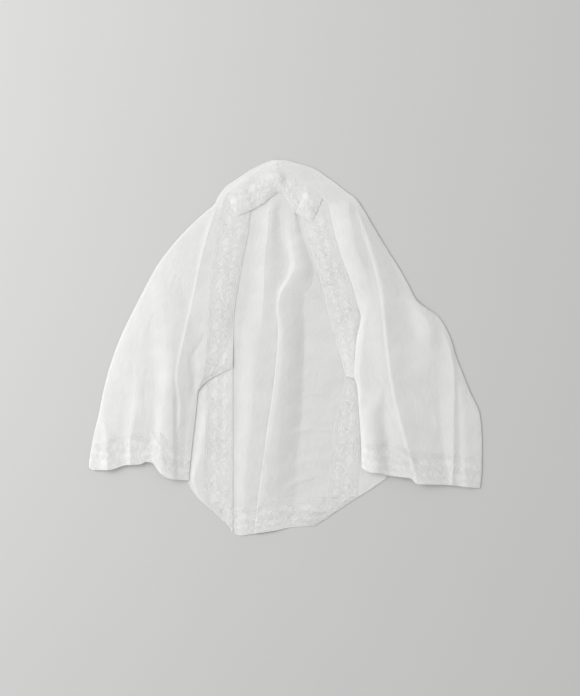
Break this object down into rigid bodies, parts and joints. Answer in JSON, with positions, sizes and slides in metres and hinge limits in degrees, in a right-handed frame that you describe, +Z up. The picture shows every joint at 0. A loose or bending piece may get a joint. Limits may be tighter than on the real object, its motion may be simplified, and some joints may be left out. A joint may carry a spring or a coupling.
{
  "type": "bolero",
  "caption": "Sheer gauze bolero laid flat with its fronts open: kimono sleeves with lace cuffs, a turned-over lace collar, lace front bands and a lace back hem.",
  "frame": {"origin": "centre of the bounding box's base, on the table that the bolero lies on", "axes": "+X from the garment's left in the picture to its right, +Y from the hem to the neck, +Z up from the table"},
  "size_m": [0.628, 0.6, 0.0148],
  "materials": {
    "gauze": "sheer matt white cotton gauze",
    "lace": "white cotton lace with raised flower relief"
  },
  "bodies": {
    "root": {"back_with_sleeves": "gauze", "front_left_with_sleeve": "gauze", "front_right_with_sleeve": "gauze", "front_left_lower": "gauze", "front_right_lower": "gauze", "collar_lace": "lace", "front_lace_left_upper": "lace", "front_lace_left_lower": "lace", "front_lace_right_upper": "lace", "front_lace_right_lower": "lace", "hem_lace": "lace", "cuff_lace_left_front": "lace", "cuff_lace_left_back": "lace", "cuff_lace_right_front": "lace", "cuff_lace_right_back": "lace"}
  },
  "joints": []
}
